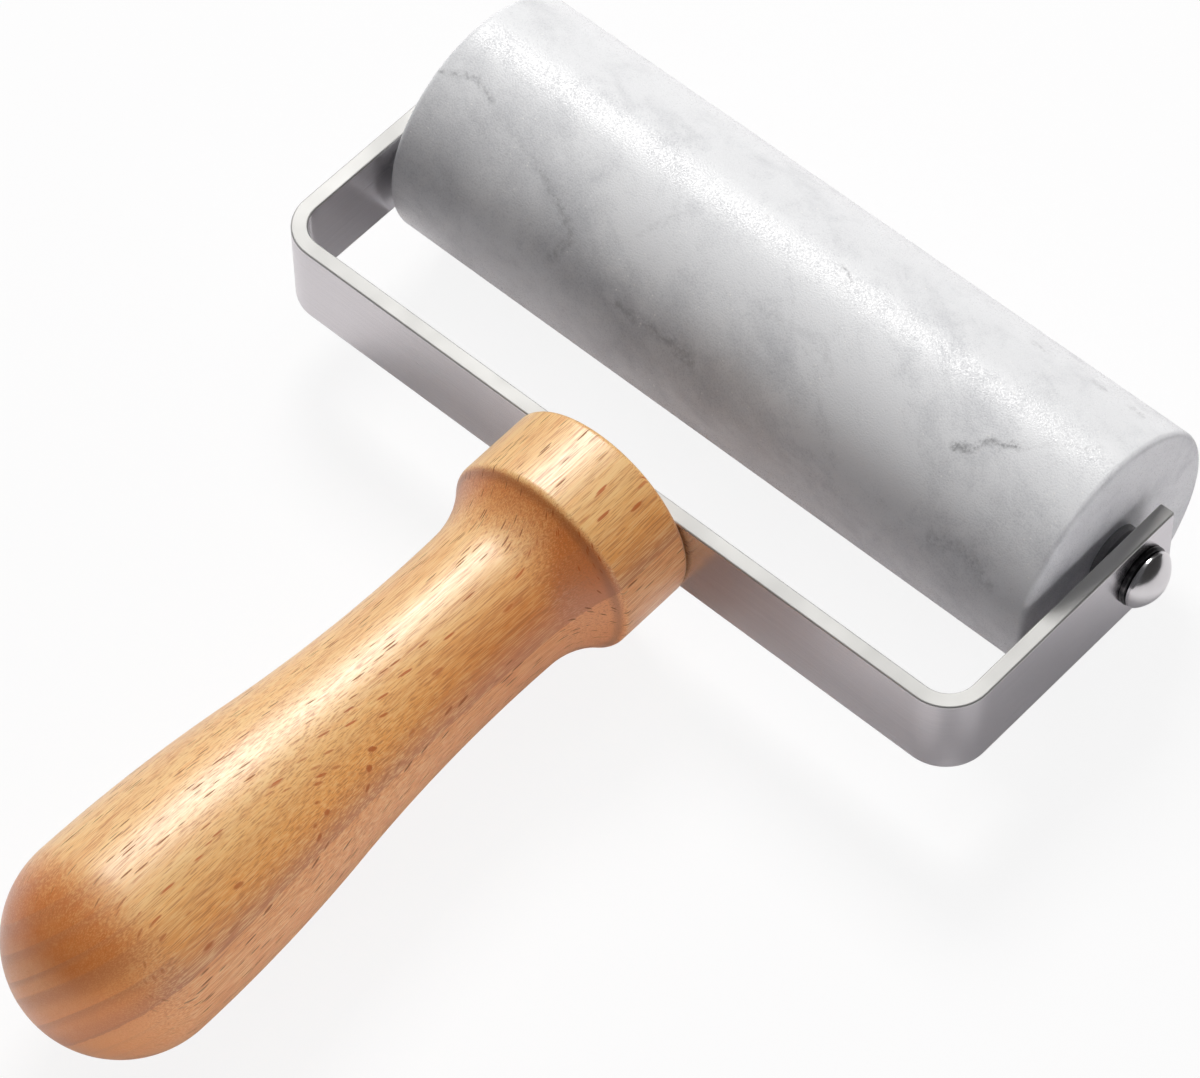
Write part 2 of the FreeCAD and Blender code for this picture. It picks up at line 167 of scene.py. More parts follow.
class Bench:
    """The node tree that one finish is laid out on."""

    def __init__(self, tree: bpy.types.NodeTree) -> None:
        """Clears the tree."""
        self.tree = tree
        tree.nodes.clear()

    def node(self, kind: str, settings: dict[str, Any], sockets: dict[Any, Any]) -> bpy.types.Node:
        """Adds a node, sets it, then feeds its sockets.

        Args:
            kind: The node's type.
            settings: Its own settings, by name.
            sockets: Numbers, colours, wires or sockets for its inputs, by name or place.

        Returns:
            The node.
        """
        node = self.tree.nodes.new(kind)
        for name, value in settings.items():
            setattr(node, name, value)
        for key, value in sockets.items():
            source = value.socket if isinstance(value, Wire) else value
            if isinstance(source, bpy.types.NodeSocket):
                self.tree.links.new(source, node.inputs[key])
            else:
                node.inputs[key].default_value = source
        return node

    def vector(self, operation: str, *values: Any) -> bpy.types.Node:
        """Adds a Vector Math node on vectors, in their order."""
        return self.node("ShaderNodeVectorMath", {"operation": operation}, dict(enumerate(values)))

    def place(self, centre: Point) -> Socket:
        """Gives the place on the object in millimetres.

        Args:
            centre: The point that is counted from, in millimetres.

        Returns:
            The place as a vector.
        """
        spot = self.node("ShaderNodeTexCoord", {}, {}).outputs["Object"]
        back = tuple(-part for part in centre)
        return self.vector("MULTIPLY_ADD", spot, (1.0 / MM,) * 3, back).outputs[0]

    def along(self, spot: Socket, direction: Point) -> Wire:
        """Distance of a place along a direction."""
        return Wire(self, self.vector("DOT_PRODUCT", spot, direction).outputs["Value"])

    def distance(self, spot: Socket, point: Point) -> Wire:
        """Distance of a place from a point."""
        return Wire(self, self.vector("DISTANCE", spot, point).outputs["Value"])

    def drawn_out(self, spot: Socket, sizes: Point) -> Socket:
        """Divides a place by a size along each axis, so a pattern grows by those sizes."""
        return self.vector("DIVIDE", spot, sizes).outputs[0]

    def parts(self, spot: Socket) -> tuple[Wire, Wire, Wire]:
        """Splits a vector into its three values."""
        node = self.node("ShaderNodeSeparateXYZ", {}, {0: spot})
        return tuple(Wire(self, socket) for socket in node.outputs)

    def joined(self, x: Value, y: Value, z: Value) -> Socket:
        """Joins three values into a vector."""
        return self.node("ShaderNodeCombineXYZ", {}, {0: x, 1: y, 2: z}).outputs[0]

    def noise(self, spot: Socket, size: float, detail: float = 2.0, rough: float = 0.5,
              swirl: float = 0.0) -> Wire:
        """Adds a cloudy noise.

        Args:
            spot: Where on the object it is read.
            size: How large its lumps are.
            detail: How many finer layers it has.
            rough: How strong the finer layers are.
            swirl: How far it is stirred.

        Returns:
            A value about one half.
        """
        sockets = {
            "Vector": spot,
            "Scale": 1.0 / size,
            "Detail": detail,
            "Roughness": rough,
            "Distortion": swirl,
        }
        return Wire(self, self.node("ShaderNodeTexNoise", {}, sockets).outputs[0])

    def cells(self, spot: Socket, size: float) -> tuple[Wire, Wire]:
        """Adds scattered cells.

        Args:
            spot: Where on the object they are read.
            size: How far apart they are.

        Returns:
            The distance from the nearest cell's middle, and that cell's own chance value.
        """
        node = self.node("ShaderNodeTexVoronoi", {}, {"Vector": spot, "Scale": 1.0 / size})
        chance = self.node("ShaderNodeSeparateColor", {}, {0: node.outputs["Color"]})
        return Wire(self, node.outputs["Distance"]), Wire(self, chance.outputs[0])

    def blend(self, mask: Value, below: Paint, above: Paint) -> Socket:
        """Mixes two colours, with the mask as the share of the one above."""
        sockets = {0: mask, 6: below, 7: above}
        return self.node("ShaderNodeMix", {"data_type": "RGBA"}, sockets).outputs[2]

    def layered(self, ground: Paint, *layers: tuple[Value, Paint]) -> Paint:
        """Lays colours over a ground.

        Args:
            ground: The colour at the bottom.
            layers: How much each layer covers and its colour, from the bottom up.

        Returns:
            The colour that shows.
        """
        for mask, paint in layers:
            ground = self.blend(mask, ground, paint)
        return ground

    def bump(self, height: Wire, depth: float) -> Socket:
        """Tilts the surface by a height of so many millimetres."""
        return self.node("ShaderNodeBump", {}, {"Distance": depth * MM, "Height": height}).outputs[0]


# Finishes


class Finish:
    """What each finish shares: it makes one material from its own pattern.

    Sizes are in millimetres. A span says between which values of its pattern a part sets in, and
    matt is a roughness: as it is without the pattern, then how far the pattern moves it.
    """

    def sockets(self, bench: Bench) -> dict[str, Any]:
        """Gives the shader's inputs, by name.

        Args:
            bench: Where the pattern's nodes go.

        Returns:
            What feeds the shader's sockets.
        """
        raise NotImplementedError

    def material(self) -> bpy.types.Material:
        """Makes the material.

        Returns:
            The material, named after its finish.
        """
        material = bpy.data.materials.new(type(self).__name__)
        material.use_nodes = True
        bench = Bench(material.node_tree)
        shader = bench.node("ShaderNodeBsdfPrincipled", {}, self.sockets(bench))
        bench.node("ShaderNodeOutputMaterial", {}, {"Surface": shader.outputs[0]})
        return material


@dataclass(frozen=True)
class Vein:
    """A thin dark seam, by the places it passes: millimetres along the axle, degrees from the top."""

    path: tuple[Pair, ...]
    width: float
    depth: float


@dataclass(frozen=True)
class Cloud:
    """A soft grey patch in the stone, round a point on its skin; a pale one has a negative depth."""

    x: float
    turn: float
    reach: float
    depth: float


@dataclass(frozen=True)
class Marble(Finish):
    """Pale stone with grey clouds in slanting beds, thin seams and bright crystals."""

    centre: Point
    radius: float
    pale: Colour = (0.84, 0.85, 0.865, 1.0)
    grey: Colour = (0.42, 0.43, 0.46, 1.0)
    seam: Colour = (0.15, 0.15, 0.16, 1.0)
    crystal: Colour = (0.93, 0.93, 0.92, 1.0)
    grain_size: float = 0.28
    crystal_gap: float = 0.8
    crystal_span: Pair = (0.10, 0.26)
    crystal_chance: Pair = (0.6, 0.95)
    rich_size: float = 9.0
    rich_span: Pair = (0.42, 0.60)
    drift_size: float = 12.0
    drift_span: Pair = (0.42, 0.70)
    drift_depth: float = 0.30
    wisp_size: float = 3.2
    mottle_size: float = 6.5
    cloud_span: Pair = (0.1, 1.1)
    bed_turn: Point = (20.0, -24.0, 22.0)
    bed_length: float = 2.2
    wander_size: float = 2.8
    wander_reach: float = 3.4
    break_size: float = 0.8
    break_span: Pair = (0.30, 0.70)
    vein_tip: Pair = (-0.2, 0.7)
    matt: Pair = (0.38, 0.9)
    shine: float = 0.36
    relief: float = 0.030
    veins: tuple[Vein, ...] = (
        Vein(((-61.0, 29.0), (-54.0, 20.3), (-49.5, 24.7)), 0.8, 0.42),
        Vein(((-49.5, 24.7), (-39.5, 34.1)), 0.9, 0.14),
        Vein(((-39.5, 34.1), (-36.0, 37.5), (-28.0, 49.6), (-28.2, 58.0), (-29.5, 67.0)), 1.2, 0.34),
        Vein(((38.8, 31.2), (41.0, 29.0), (43.4, 20.0), (47.0, 16.9)), 0.95, 0.72),
        Vein(((47.0, 16.9), (50.0, 7.5), (56.0, -3.0)), 0.7, 0.24),
        Vein(((-17.0, 65.0), (-8.0, 64.8), (-2.0, 67.0)), 1.9, 0.38),
        Vein(((3.5, 30.4), (9.0, 29.0), (14.0, 26.1), (18.0, 36.1)), 1.2, 0.15),
        Vein(((8.3, -4.2), (11.2, -0.8)), 0.6, 0.55),
        Vein(((35.6, -33.5), (38.4, -35.2)), 1.0, 0.3),
        Vein(((46.2, -37.0), (48.2, -34.6)), 1.0, 0.34),
        Vein(((52.4, -36.2), (55.2, -34.4)), 1.1, 0.36),
        Vein(((-18.0, 7.5), (-16.0, 20.4), (-18.5, 34.7)), 0.9, 0.14),
        Vein(((42.0, 71.0), (48.0, 64.0), (54.0, 73.0)), 2.2, 0.3),
    )
    clouds: tuple[Cloud, ...] = (
        Cloud(-50.0, 32.0, 16.0, 0.24),
        Cloud(-55.0, 74.0, 13.0, 0.26),
        Cloud(-34.0, 42.0, 9.0, 0.24),
        Cloud(-28.0, 58.0, 9.0, 0.40),
        Cloud(-18.0, 82.0, 12.0, 0.34),
        Cloud(-7.0, 70.0, 12.0, 0.48),
        Cloud(6.0, 76.0, 11.0, 0.32),
        Cloud(24.0, 44.0, 16.0, -0.17),
        Cloud(34.0, 22.0, 12.0, 0.08),
        Cloud(45.0, 74.0, 9.0, 0.20),
        Cloud(54.0, 38.0, 8.0, 0.16),
        Cloud(50.0, 98.0, 8.0, 0.16),
    )

    def skin(self, x: float, turn: float) -> np.ndarray:
        """Finds a point of the skin.

        Args:
            x: Millimetres along the axle.
            turn: Degrees from the top, towards the handle.

        Returns:
            The point, from the stone's centre.
        """
        angle = math.radians(turn)
        return np.array([x, -self.radius * math.sin(angle), self.radius * math.cos(angle)])

    def seams(self, bench: Bench, spot: Socket) -> Wire:
        """Lays every vein: dark where the wandering distance from its planes is small.

        Each stretch of a path is a plane through the stone, square to the skin there.

        Args:
            bench: Where the nodes go.
            spot: The place in the stone.

        Returns:
            How dark the seams are.
        """
        wander = (bench.noise(spot, self.wander_size, detail=5.0, rough=0.68) - 0.5) * self.wander_reach
        whole: Value = 0.0
        for vein in self.veins:
            for start, end in zip(vein.path, vein.path[1:]):
                first, last = self.skin(*start), self.skin(*end)
                middle, half = (first + last) / 2, np.linalg.norm(last - first) / 2
                way = (last - first) / (2 * half)
                side = np.cross(way, middle * (0.0, 1.0, 1.0))
                side /= np.linalg.norm(side)
                across = abs(bench.along(spot, tuple(side)) - float(side @ middle) + wander)
                reach = abs(bench.along(spot, tuple(way)) - float(way @ middle))
                tip = reach.fall(half + self.vein_tip[0], half + self.vein_tip[1])
                line = across.fall(0.0, vein.width) * tip
                whole = (line * vein.depth).greater(whole)
        broken = bench.noise(spot, self.break_size, detail=3.0, rough=0.7).rise(*self.break_span)
        return whole * broken

    def greyness(self, bench: Bench, spot: Socket) -> Wire:
        """Adds the soft patches to a bedded cloudy noise.

        Args:
            bench: Where the nodes go.
            spot: The place in the stone.

        Returns:
            How grey the stone is.
        """
        turn = tuple(math.radians(angle) for angle in self.bed_turn)
        bed = bench.node("ShaderNodeMapping", {}, {"Vector": spot, "Rotation": turn})
        bedded = bench.drawn_out(bed.outputs[0], (self.bed_length, 1.0, 1.0))
        drift = bench.noise(bedded, self.drift_size, detail=5.0, rough=0.6, swirl=0.5)
        wisps = bench.noise(bedded, self.wisp_size, detail=4.0, rough=0.62, swirl=0.9)
        mottle = bench.noise(spot, self.mottle_size, detail=4.0, rough=0.60, swirl=0.4)
        ragged = (drift - 0.5) * 1.6 + (wisps - 0.5) * 1.1
        grey = drift.rise(*self.drift_span, self.drift_depth)
        for cloud in self.clouds:
            near = bench.distance(spot, tuple(self.skin(cloud.x, cloud.turn))) / cloud.reach + ragged
            grey = near.fall(*self.cloud_span) * cloud.depth + grey
        return grey + (wisps - 0.5) * 0.8 + (mottle - 0.5)

    def sockets(self, bench: Bench) -> dict[str, Any]:
        """Pale stone, then clouds, crystals and seams; a grainy polish.

        Args:
            bench: Where the pattern's nodes go.

        Returns:
            What feeds the shader's sockets.
        """
        spot = bench.place(self.centre)
        grain = bench.noise(spot, self.grain_size, detail=1.0, rough=0.6)
        near, chance = bench.cells(spot, self.crystal_gap)
        rich = bench.noise(spot, self.rich_size).rise(*self.rich_span)
        crystals = near.fall(*self.crystal_span) * chance.rise(*self.crystal_chance) * rich
        grey = self.greyness(bench, spot) + (grain - 0.5)
        colour = bench.layered(
            self.pale,
            (grey * 0.79, self.grey),
            (crystals * 0.9, self.crystal),
            (self.seams(bench, spot), self.seam),
        )
        return {
            "Base Color": colour,
            "Roughness": self.matt[0] + (grain - 0.5) * self.matt[1],
            "Specular IOR Level": self.shine,
            "Normal": bench.bump(crystals * 0.4 - grain, self.relief),
        }


@dataclass(frozen=True)
class Beech(Finish):
    """Lacquered beech, cut from a log whose heart lies beside and below the handle.

    Rings are counted out from the heart, the border from the broad ring, and the butt, the neck, the
    cove and its lip along the handle. The cove, the neck's lower side and a line under the lip are
    darkened with painted shade; the outer rings on the side towards the lamps are painted paler.
    """

    axis: Point = (0.0, 0.0, 20.0)
    heart: Pair = (55.0, -43.0)
    sway_pitch: Point = (0.02, 0.012, 0.02)
    sway_reach: float = 2.5
    ring: float = 3.4
    ring_shift: float = 1.6
    late_start: Pair = (0.45, 0.93)
    late_end: Pair = (0.93, 1.0)
    broad_ring: float = 63.7
    # Outer rings on the upper left side, towards the lamps, which take the paler straw tone.
    lit_side_pale_rings: Pair = (66.0, 77.0)
    deep_rings: Pair = (68.0, 74.0)
    under_rings: Pair = (66.0, 78.0)
    border_start: Pair = (-0.1, 0.05)
    border_end: Pair = (0.2, 4.5)
    border_sway: float = 0.5
    fibre_size: Point = (0.16, 0.16, 4.4)
    cream_span: Pair = (0.40, 0.48)
    stroke_span: Pair = (0.53, 0.63)
    strand_size: Point = (1.0, 1.0, 15.0)
    strand_span: Pair = (0.35, 0.7)
    year_size: Point = (6.25, 100.0, 250.0)
    ray_gap: Point = (2.0, 0.30, 5.2)
    ray_fray: float = 0.35
    ray_span: Pair = (0.18, 0.28)
    ray_chance: Pair = (0.32, 0.70)
    ray_facing: Pair = (0.25, 0.6)
    matt: Pair = (0.44, 0.6)
    ray_matt: float = 0.3
    shine: float = 0.9
    sheen: float = 0.25
    sheen_matt: float = 0.35
    lacquer: float = 0.5
    lacquer_matt: float = 0.32
    lacquer_bending: float = 1.5
    relief: float = 0.045
    butt: Pair = (-84.0, -68.0)
    deep_end: Pair = (-86.0, -82.0)
    deep_start: Pair = (-78.0, -70.0)
    neck: Pair = (-30.0, 2.0)
    cove: Pair = (3.0, 12.4)
    cove_end: Pair = (12.4, 13.6)
    lip_shade_start: Pair = (11.4, 12.4)
    lip_shade_end: Pair = (12.5, 13.1)
    honey: Colour = (0.88, 0.348, 0.063, 1.0)
    straw: Colour = (0.93, 0.58, 0.23, 1.0)
    rose: Colour = (0.58, 0.19, 0.06, 1.0)
    blush: Colour = (0.85, 0.35, 0.115, 1.0)
    cream: Colour = (0.98, 0.66, 0.29, 1.0)
    stroke: Colour = (0.53, 0.165, 0.035, 1.0)
    umber: Colour = (0.25, 0.065, 0.004, 1.0)
    rust: Colour = (0.56, 0.125, 0.018, 1.0)
    amber: Colour = (0.66, 0.175, 0.018, 1.0)
    russet: Colour = (0.84, 0.28, 0.08, 1.0)

    def log_place(self, bench: Bench) -> tuple[Wire, Wire, Wire, Wire]:
        """Gives the place in the log, and how squarely the turned surface faces the heart.

        Args:
            bench: Where the nodes go.

        Returns:
            Millimetres out from the heart, round it and along the grain, then the facing.
        """
        spot = bench.place(self.axis)
        x, y, z = bench.parts(spot)
        stretched = bench.vector("MULTIPLY", spot, self.sway_pitch).outputs[0]
        sway = (bench.noise(stretched, 1.0, detail=1.0) - 0.5) * self.sway_reach
        right = x - self.heart[0] + sway
        up = z - self.heart[1] - sway
        out = (right * right + up * up) ** 0.5
        depth = math.hypot(*self.heart)
        turn = right.math("ARCTAN2", right, up) * depth
        facing = abs(x * self.heart[0] + z * self.heart[1]) / ((x * x + z * z) ** 0.5 * depth)
        return out, turn, y, facing

    def sockets(self, bench: Bench) -> dict[str, Any]:
        """Golden wood with year rings, fibres and rays, under a thin lacquer.

        A ray is a thin plate that stands out from the heart, so it shows as a short dark dash where
        the surface faces the heart and as a broad rusty fleck where it faces sideways.

        Args:
            bench: Where the pattern's nodes go.

        Returns:
            What feeds the shader's sockets.
        """
        out, turn, along, facing = self.log_place(bench)
        log = bench.joined(out, turn, along)
        fibre = bench.noise(bench.drawn_out(log, self.fibre_size), 1.0, rough=0.6)
        strand = bench.noise(bench.drawn_out(log, self.strand_size), 1.0, detail=3.0, rough=0.6)
        year = bench.noise(bench.drawn_out(log, self.year_size), 1.0)
        ring = (out / self.ring + year * self.ring_shift).fraction()
        late = ring.rise(*self.late_start) - ring.rise(*self.late_end)
        flank = along.rise(*self.butt)
        near, chance = bench.cells(bench.drawn_out(log, self.ray_gap), 1.0)
        ragged = near + (fibre - 0.5) * self.ray_fray
        rays = ragged.fall(*self.ray_span) * chance.rise(*self.ray_chance) * flank
        beyond = out - self.broad_ring + (strand - 0.5) * self.border_sway
        border = beyond.rise(*self.border_start) * beyond.fall(*self.border_end)
        # Painted shade: a thin darker line just under the collar's lip.
        lip = along.rise(*self.lip_shade_start) * along.fall(*self.lip_shade_end)
        behind = along.fall(*self.cove_end)
        # Painted shade: the neck's lower side, away from the lamps, and the cove behind the collar are
        # darkened towards amber, and lose most of their pale strokes.
        under = along.rise(*self.neck) * behind * out.fall(*self.under_rings)
        painted_shade = along.rise(*self.cove) * behind * 0.9 + under * 0.8
        deep = along.rise(*self.deep_end) * along.fall(*self.deep_start) * out.rise(*self.deep_rings)
        colour = bench.layered(
            self.honey,
            # Straw outer rings: a wood tone, partly painted light, since they lie on the upper left side
            # towards the lamps and are made paler there.
            (out.rise(*self.lit_side_pale_rings), self.straw),
            (strand.rise(*self.strand_span, 0.35), self.honey),
            ((1.0 - flank) * 0.75, self.russet),
            # Amber: a deep zone of the butt's wood, plus the painted shade of the cove and the neck's lower
            # side.
            (deep * (0.55 + strand * 0.6) + painted_shade, self.amber),
            (late * (0.6 - flank * 0.4), self.rose),
            (beyond.fall(*self.border_start) * 0.7, self.blush),
            (border * 0.7, self.rose),
            (fibre.fall(*self.cream_span) * (0.1 + flank * 0.45) * (1.0 - painted_shade * 0.6), self.cream),
            (fibre.rise(*self.stroke_span) * (0.15 + flank * 0.5), self.stroke),
            (rays * 0.92, bench.blend(facing.fall(*self.ray_facing), self.umber, self.rust)),
            # The painted shade under the collar's lip, in umber.
            (lip * 0.4, self.umber),
        )
        return {
            "Base Color": colour,
            "Roughness": self.matt[0] + (fibre - 0.5) * self.matt[1] + rays * self.ray_matt,
            "Specular IOR Level": self.shine,
            "Sheen Weight": self.sheen,
            "Sheen Roughness": self.sheen_matt,
            "Coat Weight": self.lacquer - rays * self.lacquer,
            "Coat Roughness": self.lacquer_matt,
            "Coat IOR": self.lacquer_bending,
            "Normal": bench.bump(strand * 0.3 - fibre, self.relief),
        }


@dataclass(frozen=True)
class StripSteel(Finish):
    """Satin stainless strip, drawn lengthwise, with rougher sheared edges."""

    middle: Point = (0.0, 0.0, 20.0)
    bright: Colour = (0.71, 0.695, 0.715, 1.0)
    dull: Colour = (0.59, 0.575, 0.595, 1.0)
    edge: Colour = (0.56, 0.56, 0.55, 1.0)
    line_size: Point = (16.0, 16.0, 0.09)
    line_span: Pair = (0.3, 0.75)
    smear_size: float = 14.0
    grit_size: float = 0.28
    edge_span: Pair = (7.15, 7.45)
    matt: Pair = (0.24, 0.16)
    smear_matt: float = 0.10
    edge_matt: float = 0.42
    relief: float = 0.006

    def sockets(self, bench: Bench) -> dict[str, Any]:
        """Fine lines along the strip, which keep their height round both bends.

        Args:
            bench: Where the pattern's nodes go.

        Returns:
            What feeds the shader's sockets.
        """
        spot = bench.place(self.middle)
        lines = bench.noise(bench.drawn_out(spot, self.line_size), 1.0, detail=3.0, rough=0.65)
        smear = bench.noise(spot, self.smear_size, detail=3.0, rough=0.55)
        height = abs(bench.along(spot, (0.0, 0.0, 1.0)))
        sheared = height.rise(*self.edge_span)
        grit = bench.noise(spot, self.grit_size, rough=0.6)
        worn = lines.rise(*self.line_span, 0.6) + smear * 0.2
        satin = self.matt[0] + (lines - 0.5) * self.matt[1] + (smear - 0.5) * self.smear_matt
        return {
            "Base Color": bench.layered(self.bright, (worn, self.dull), (sheared, self.edge)),
            "Metallic": 1.0,
            "Roughness": satin + sheared * self.edge_matt,
            "Normal": bench.bump(lines * 0.35 + grit * sheared, self.relief),
        }


@dataclass(frozen=True)
class Mottled(Finish):
    """A plain finish: one cloudy pattern shares out two tones, and roughens and tilts the surface."""

    first: Colour
    second: Colour
    lumps: Point
    matt: Pair
    relief: float
    span: Optional[Pair] = None
    detail: float = 3.0
    fineness: float = 0.6
    metal: float = 1.0
    centre: Point = ORIGIN

    def sockets(self, bench: Bench) -> dict[str, Any]:
        """Mixes the tones by the pattern, evenly where the finish has no span.

        Args:
            bench: Where the pattern's nodes go.

        Returns:
            What feeds the shader's sockets.
        """
        spot = bench.drawn_out(bench.place(self.centre), self.lumps)
        pattern = bench.noise(spot, 1.0, detail=self.detail, rough=self.fineness)
        share = pattern.rise(*self.span) if self.span else pattern
        return {
            "Base Color": bench.blend(share, self.first, self.second),
            "Metallic": self.metal,
            "Roughness": self.matt[0] + pattern * self.matt[1],
            "Normal": bench.bump(pattern, self.relief),
        }


@dataclass(frozen=True)
class PolishedSteel(Mottled):
    """Polished caps: a near mirror, a little cloudy from handling."""

    first: Colour = (0.82, 0.81, 0.82, 1.0)
    second: Colour = (0.72, 0.71, 0.72, 1.0)
    lumps: Point = (2.4, 2.4, 2.4)
    matt: Pair = (0.14, 0.08)
    relief: float = 0.004


@dataclass(frozen=True)
class PaintedShadeWasherSteel(Mottled):
    """Washers under the caps, black as painted shade for the dark rings at each cap's base, rubbed brighter
    in patches.
    """

    first: Colour = (0.05, 0.05, 0.052, 1.0)
    second: Colour = (0.16, 0.155, 0.155, 1.0)
    lumps: Point = (1.1, 1.1, 1.1)
    matt: Pair = (0.24, 0.16)
    relief: float = 0.004
    span: Optional[Pair] = (0.4, 0.8)
    fineness: float = 0.65


@dataclass(frozen=True)
class PlainSteel(Mottled):
    """Bright steel of the axle, the screw and its washer, with fine drawn and turned marks."""

    first: Colour = (0.62, 0.62, 0.63, 1.0)
    second: Colour = (0.46, 0.46, 0.47, 1.0)
    lumps: Point = (3.0, 0.4, 0.4)
    matt: Pair = (0.22, 0.16)
    relief: float = 0.006


@dataclass(frozen=True)
class MouldedNylon(Mottled):
    """Dark moulded bushes with a matt and finely pitted skin."""

    first: Colour = (0.17, 0.17, 0.175, 1.0)
    second: Colour = (0.26, 0.26, 0.265, 1.0)
    lumps: Point = (0.25, 0.25, 0.25)
    matt: Pair = (0.42, 0.2)
    relief: float = 0.01
    span: Optional[Pair] = (0.35, 0.8)
    detail: float = 2.0
    metal: float = 0.0


@dataclass(frozen=True)
class TurnedBrass(Mottled):
    """Plain brass of the threaded insert, with turning marks that follow each other along it."""

    first: Colour = (0.72, 0.52, 0.20, 1.0)
    second: Colour = (0.50, 0.34, 0.12, 1.0)
    lumps: Point = (4.0, 0.12, 4.0)
    matt: Pair = (0.24, 0.14)
    relief: float = 0.01
    detail: float = 2.0
    centre: Point = (0.0, 0.0, 20.0)


# Surfaces


def straight(start: Pair, end: Pair, count: int) -> np.ndarray:
    """Even points on a line, as start plus a growing share of the way to end.

    Args:
        start: First point, as place along the axis and radius.
        end: Point that the line stops short of.
        count: Number of points.

    Returns:
        The points.
    """
    share = np.arange(count)[:, None] / count
    return np.array(start) + share * (np.array(end) - np.array(start))


def bend(centre: Pair, start: np.ndarray, end: np.ndarray, count: int) -> np.ndarray:
    """Even points on an arc: centre plus radius times cosine and sine of an evenly growing angle.

    Args:
        centre: The arc's centre.
        start: First point, which sets the radius.
        end: Point that the arc stops short of, reached by the shorter way.
        count: Number of points.

    Returns:
        The points.
    """
    middle = np.array(centre)
    first = np.asarray(start) - middle
    last = np.asarray(end) - middle
    begin = math.atan2(first[1], first[0])
    sweep = math.remainder(math.atan2(last[1], last[0]) - begin, math.tau)
    angle = begin + sweep * np.arange(count) / count
    return middle + np.hypot(*first) * np.column_stack([np.cos(angle), np.sin(angle)])


@dataclass
class Turning:
    """A profile carried round an axis, in millimetres.

    A profile point at place a and radius r, turned by u, lies at the origin plus a along the axis,
    plus r times cosine u to one side and r times sine u to the other.
    """

    profile: np.ndarray
    origin: Point
    axis: Point
    ends: Ends
    steps: int

    def grid(self) -> np.ndarray:
        """Works out the points, ring by ring.

        Returns:
            An array of rings by steps by three.
        """
        along = np.array(self.axis)
        side = np.roll(np.abs(along), 1)
        other = np.cross(along, side)
        turn = math.tau * np.arange(self.steps) / self.steps
        spokes = np.cos(turn)[:, None] * side + np.sin(turn)[:, None] * other
        places = self.profile[:, 0, None, None] * along
        return np.array(self.origin) + places + self.profile[:, 1, None, None] * spokes

    def faces(self, rings: int) -> tuple[np.ndarray, np.ndarray]:
        """Joins each ring to the next, and an axis point to its ring by a fan.

        Args:
            rings: Number of rings, without the points on the axis.

        Returns:
            The four-sided faces and the fans.
        """
        step = np.arange(self.steps)
        after = (step + 1) % self.steps
        looped = self.ends is Ends.LOOP
        ring = np.arange(rings if looped else rings - 1)[:, None]
        low, high = ring * self.steps, (ring + 1) % rings * self.steps
        quads = np.stack([low + step, low + after, high + after, high + step], -1).reshape(-1, 4)
        if looped:
            return quads, np.empty((0, 3), int)
        tail = (rings - 1) * self.steps
        count = rings * self.steps
        first = np.stack([np.full_like(step, count), after, step], -1)
        last = np.stack([np.full_like(step, count + 1), tail + step, tail + after], -1)
        return quads, np.concatenate([first, last])

    def mesh(self, name: str) -> bpy.types.Mesh:
        """Makes the closed mesh with its faces outward.

        The triple products of three corners of each four-sided face add up to a volume, and where that
        is negative all the faces are turned round.

        Args:
            name: The mesh's name.

        Returns:
            The mesh, smooth except at sharp corners.
        """
        points = self.grid()
        poles = np.empty((0, 3))
        if self.ends is Ends.ON_AXIS:
            poles = points[[0, -1]].mean(1)
            points = points[1:-1]
        quads, fans = self.faces(len(points))
        points = np.concatenate([points.reshape(-1, 3), poles])
        corners = points[quads[:, :3]]
        swept = np.einsum("ij,ij->i", corners[:, 0], np.cross(corners[:, 1], corners[:, 2])).sum()
        turn = 1 if swept > 0 else -1
        mesh = bpy.data.meshes.new(name)
        mesh.from_pydata((points * MM).tolist(), [], quads[:, ::turn].tolist() + fans[:, ::turn].tolist())
        mesh.shade_smooth()
        mesh.set_sharp_from_angle(angle=SHARP_CORNER)
        return mesh


def dress(piece: bpy.types.Object, material: bpy.types.Material) -> None:
    """Puts one material on every slot of a piece."""
    piece.data.materials.clear()
    piece.data.materials.append(material)


def new_piece(mesh: bpy.types.Mesh, body: str, node: str) -> bpy.types.Object:
    """Sets a new piece in the place of a solid.

    Args:
        mesh: The piece's mesh, already in place.
        body: The body that it moves with.
        node: The solid that it stands for.

    Returns:
        The piece.
    """
    piece = bpy.data.objects.new(mesh.name, mesh)
    bpy.context.scene.collection.objects.link(piece)
    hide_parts(node)
    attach(piece, body)
    return piece


# Sub-assemblies


